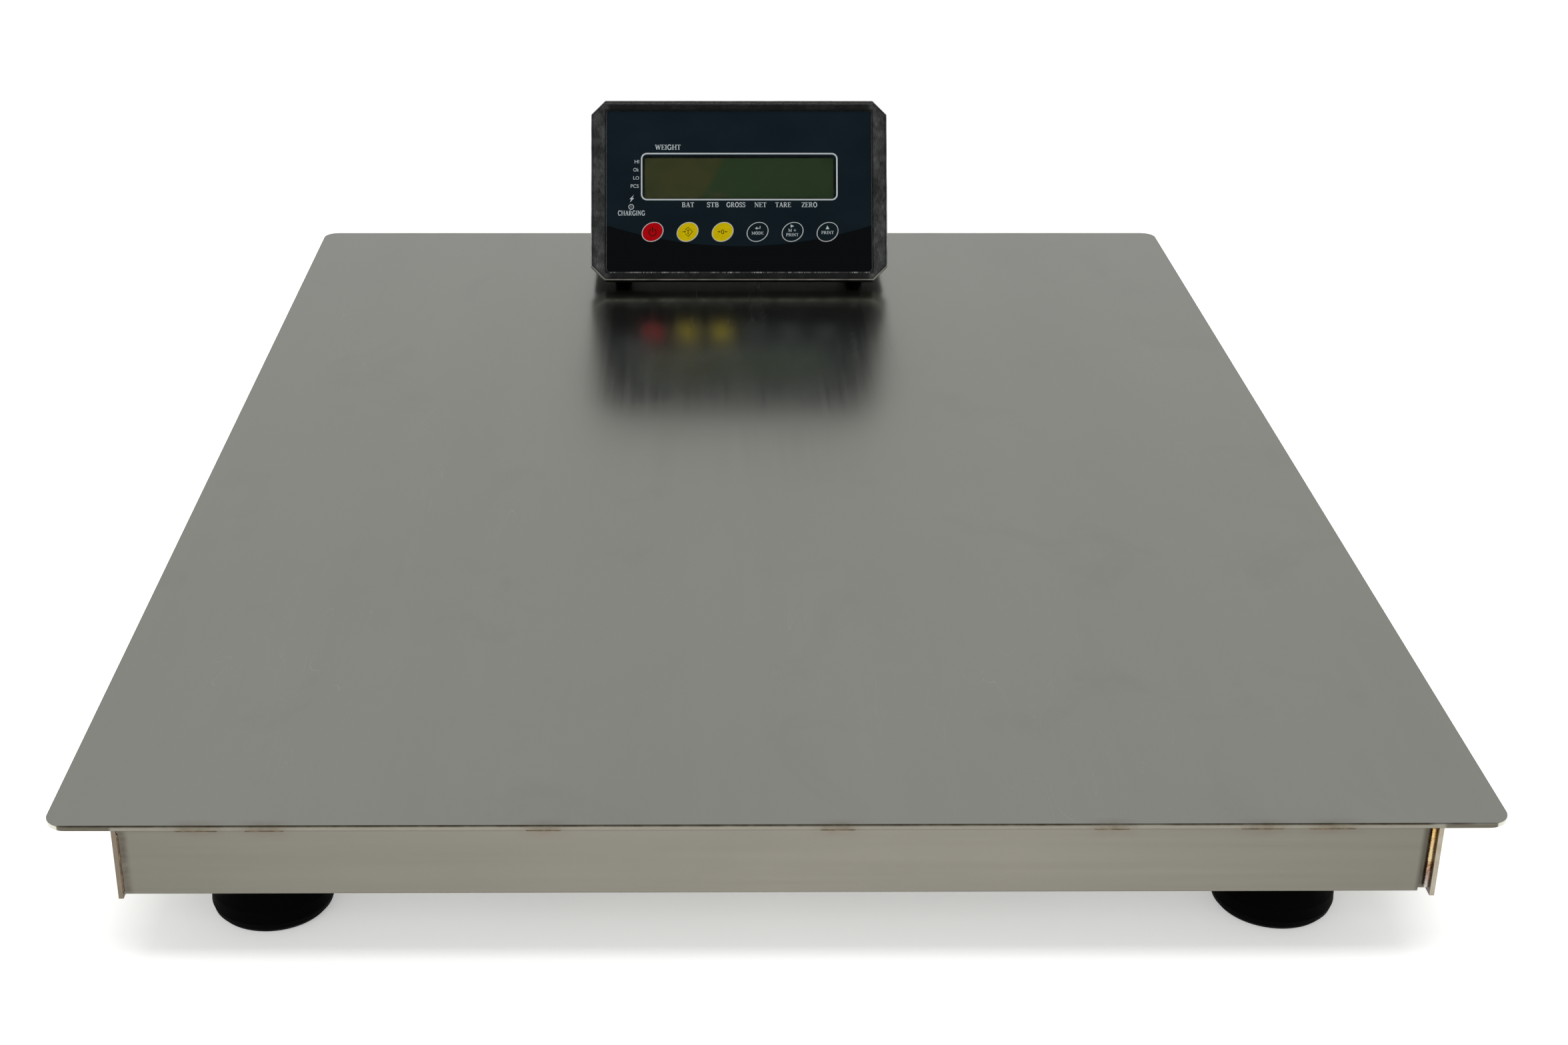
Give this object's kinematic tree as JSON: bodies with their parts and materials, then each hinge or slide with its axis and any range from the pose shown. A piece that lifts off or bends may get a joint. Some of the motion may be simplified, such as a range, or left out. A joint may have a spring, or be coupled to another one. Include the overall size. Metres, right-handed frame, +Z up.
{
  "type": "platform shipping scale",
  "caption": "Low stainless steel weighing platform on levelling feet, with a wedge-shaped digital weight indicator resting at the back of its deck.",
  "frame": {"origin": "on the floor, under the middle of the deck", "axes": "+X to the right of the person who reads the indicator, +Y to the back, where the indicator stands, +Z up"},
  "size_m": [0.75, 1, 0.2279],
  "materials": {
    "deck_steel": "front-to-back brushed stainless steel, satin",
    "frame_steel": "satin stainless steel sheet with brown heat tint at the welds",
    "weld_steel": "straw and brown heat-tinted weld",
    "cell_steel": "nickel-plated alloy steel, satin",
    "bolt_steel": "zinc-plated steel",
    "stud_steel": "machined stainless steel",
    "foot_rubber": "matt black moulded rubber",
    "lead_jacket": "matt black cable jacket",
    "clip_nylon": "natural nylon",
    "box_plastic": "matt grey moulded plastic",
    "gland_plastic": "matt black nylon",
    "board_green": "green solder mask",
    "bezel_steel": "dark satin stainless steel",
    "housing_steel": "satin stainless steel",
    "plate_aluminium": "milled aluminium",
    "overlay_film": "dark satin polyester film",
    "key_red": "red polyester film",
    "key_yellow": "yellow polyester film",
    "key_dark": "dark polyester film",
    "window_clear": "clear window",
    "lcd_glass": "dark green liquid crystal panel, switched off",
    "lamp_clear": "smoked lamp lens",
    "battery_case": "matt dark grey plastic",
    "seal_rubber": "matt black foam rubber"
  },
  "bodies": {
    "platform": {"deck_plate": "deck_steel", "left_side_rail": "frame_steel", "right_side_rail": "frame_steel", "front_apron": "frame_steel", "rear_apron": "frame_steel", "front_cross_member": "frame_steel", "middle_cross_member": "frame_steel", "rear_cross_member": "frame_steel", "stiffener_bars": "frame_steel", "weld_beads": "weld_steel", "load_cell_mounting_plates": "frame_steel", "front_left_load_cell": "cell_steel", "front_right_load_cell": "cell_steel", "rear_left_load_cell": "cell_steel", "rear_right_load_cell": "cell_steel", "load_cell_bolts": "bolt_steel", "jam_nuts": "bolt_steel", "internal_leads": "lead_jacket", "lead_clips": "clip_nylon", "junction_box": "box_plastic", "junction_box_lid": "box_plastic", "junction_box_screws": "bolt_steel", "summing_board": "board_green", "junction_box_glands": "gland_plastic", "output_cable_gland": "gland_plastic"},
    "front_left_foot": {"front_left_rubber_foot": "foot_rubber", "front_left_foot_cup": "stud_steel"},
    "front_left_stud": {"front_left_levelling_stud": "stud_steel"},
    "front_right_foot": {"front_right_rubber_foot": "foot_rubber", "front_right_foot_cup": "stud_steel"},
    "front_right_stud": {"front_right_levelling_stud": "stud_steel"},
    "rear_left_foot": {"rear_left_rubber_foot": "foot_rubber", "rear_left_foot_cup": "stud_steel"},
    "rear_left_stud": {"rear_left_levelling_stud": "stud_steel"},
    "rear_right_foot": {"rear_right_rubber_foot": "foot_rubber", "rear_right_foot_cup": "stud_steel"},
    "rear_right_stud": {"rear_right_levelling_stud": "stud_steel"},
    "indicator": {"front_bezel": "bezel_steel", "backing_plate": "plate_aluminium", "keypad_overlay": "overlay_film", "display_window": "window_clear", "lcd_module": "lcd_glass", "keypad_board": "board_green", "charge_lamp": "lamp_clear", "main_board": "board_green", "board_standoffs": "bolt_steel", "battery_pack": "battery_case", "battery_bracket": "bolt_steel", "rear_housing": "housing_steel", "housing_seal": "seal_rubber", "housing_screws": "bolt_steel", "indicator_feet": "foot_rubber", "indicator_cable_gland": "gland_plastic", "charger_socket": "gland_plastic"},
    "power_key_button": {"power_key": "key_red"},
    "tare_key_button": {"tare_key": "key_yellow"},
    "zero_key_button": {"zero_key": "key_yellow"},
    "mode_key_button": {"mode_key": "key_dark"},
    "memory_key_button": {"memory_key": "key_dark"},
    "print_key_button": {"print_key": "key_dark"}
  },
  "joints": [
    {"name": "front_left_foot_height", "type": "slide", "parent": "platform", "child": "front_left_foot", "axis": [0, 0, -1], "range_m": [-0.003, 0.012]},
    {"name": "front_left_stud_turn", "type": "hinge", "parent": "front_left_foot", "child": "front_left_stud", "pos_m": [-0.272, -0.443, 0.045], "axis": [0, 0, 1], "range_deg": [-2470, 618]},
    {"name": "front_right_foot_height", "type": "slide", "parent": "platform", "child": "front_right_foot", "axis": [0, 0, -1], "range_m": [-0.003, 0.012]},
    {"name": "front_right_stud_turn", "type": "hinge", "parent": "front_right_foot", "child": "front_right_stud", "pos_m": [0.272, -0.443, 0.045], "axis": [0, 0, 1], "range_deg": [-2470, 618]},
    {"name": "rear_left_foot_height", "type": "slide", "parent": "platform", "child": "rear_left_foot", "axis": [0, 0, -1], "range_m": [-0.003, 0.012]},
    {"name": "rear_left_stud_turn", "type": "hinge", "parent": "rear_left_foot", "child": "rear_left_stud", "pos_m": [-0.272, 0.443, 0.045], "axis": [0, 0, 1], "range_deg": [-2470, 618]},
    {"name": "rear_right_foot_height", "type": "slide", "parent": "platform", "child": "rear_right_foot", "axis": [0, 0, -1], "range_m": [-0.003, 0.012]},
    {"name": "rear_right_stud_turn", "type": "hinge", "parent": "rear_right_foot", "child": "rear_right_stud", "pos_m": [0.272, 0.443, 0.045], "axis": [0, 0, 1], "range_deg": [-2470, 618]},
    {"name": "indicator_lift", "type": "slide", "parent": "platform", "child": "indicator", "axis": [0, 0, 1], "range_m": [0, 0.3]},
    {"name": "power_key_press", "type": "slide", "parent": "indicator", "child": "power_key_button", "axis": [0, 0.8846, -0.4664], "range_m": [0, 0.0004], "stiffness_N_per_m": 4000},
    {"name": "tare_key_press", "type": "slide", "parent": "indicator", "child": "tare_key_button", "axis": [0, 0.8846, -0.4664], "range_m": [0, 0.0004], "stiffness_N_per_m": 4000},
    {"name": "zero_key_press", "type": "slide", "parent": "indicator", "child": "zero_key_button", "axis": [0, 0.8846, -0.4664], "range_m": [0, 0.0004], "stiffness_N_per_m": 4000},
    {"name": "mode_key_press", "type": "slide", "parent": "indicator", "child": "mode_key_button", "axis": [0, 0.8846, -0.4664], "range_m": [0, 0.0004], "stiffness_N_per_m": 4000},
    {"name": "memory_key_press", "type": "slide", "parent": "indicator", "child": "memory_key_button", "axis": [0, 0.8846, -0.4664], "range_m": [0, 0.0004], "stiffness_N_per_m": 4000},
    {"name": "print_key_press", "type": "slide", "parent": "indicator", "child": "print_key_button", "axis": [0, 0.8846, -0.4664], "range_m": [0, 0.0004], "stiffness_N_per_m": 4000}
  ],
  "couplings": [
    {"joint": "front_left_stud_turn", "follows": "front_left_foot_height", "rad_per_m": -3590.4},
    {"joint": "front_right_stud_turn", "follows": "front_right_foot_height", "rad_per_m": -3590.4},
    {"joint": "rear_left_stud_turn", "follows": "rear_left_foot_height", "rad_per_m": -3590.4},
    {"joint": "rear_right_stud_turn", "follows": "rear_right_foot_height", "rad_per_m": -3590.4}
  ]
}
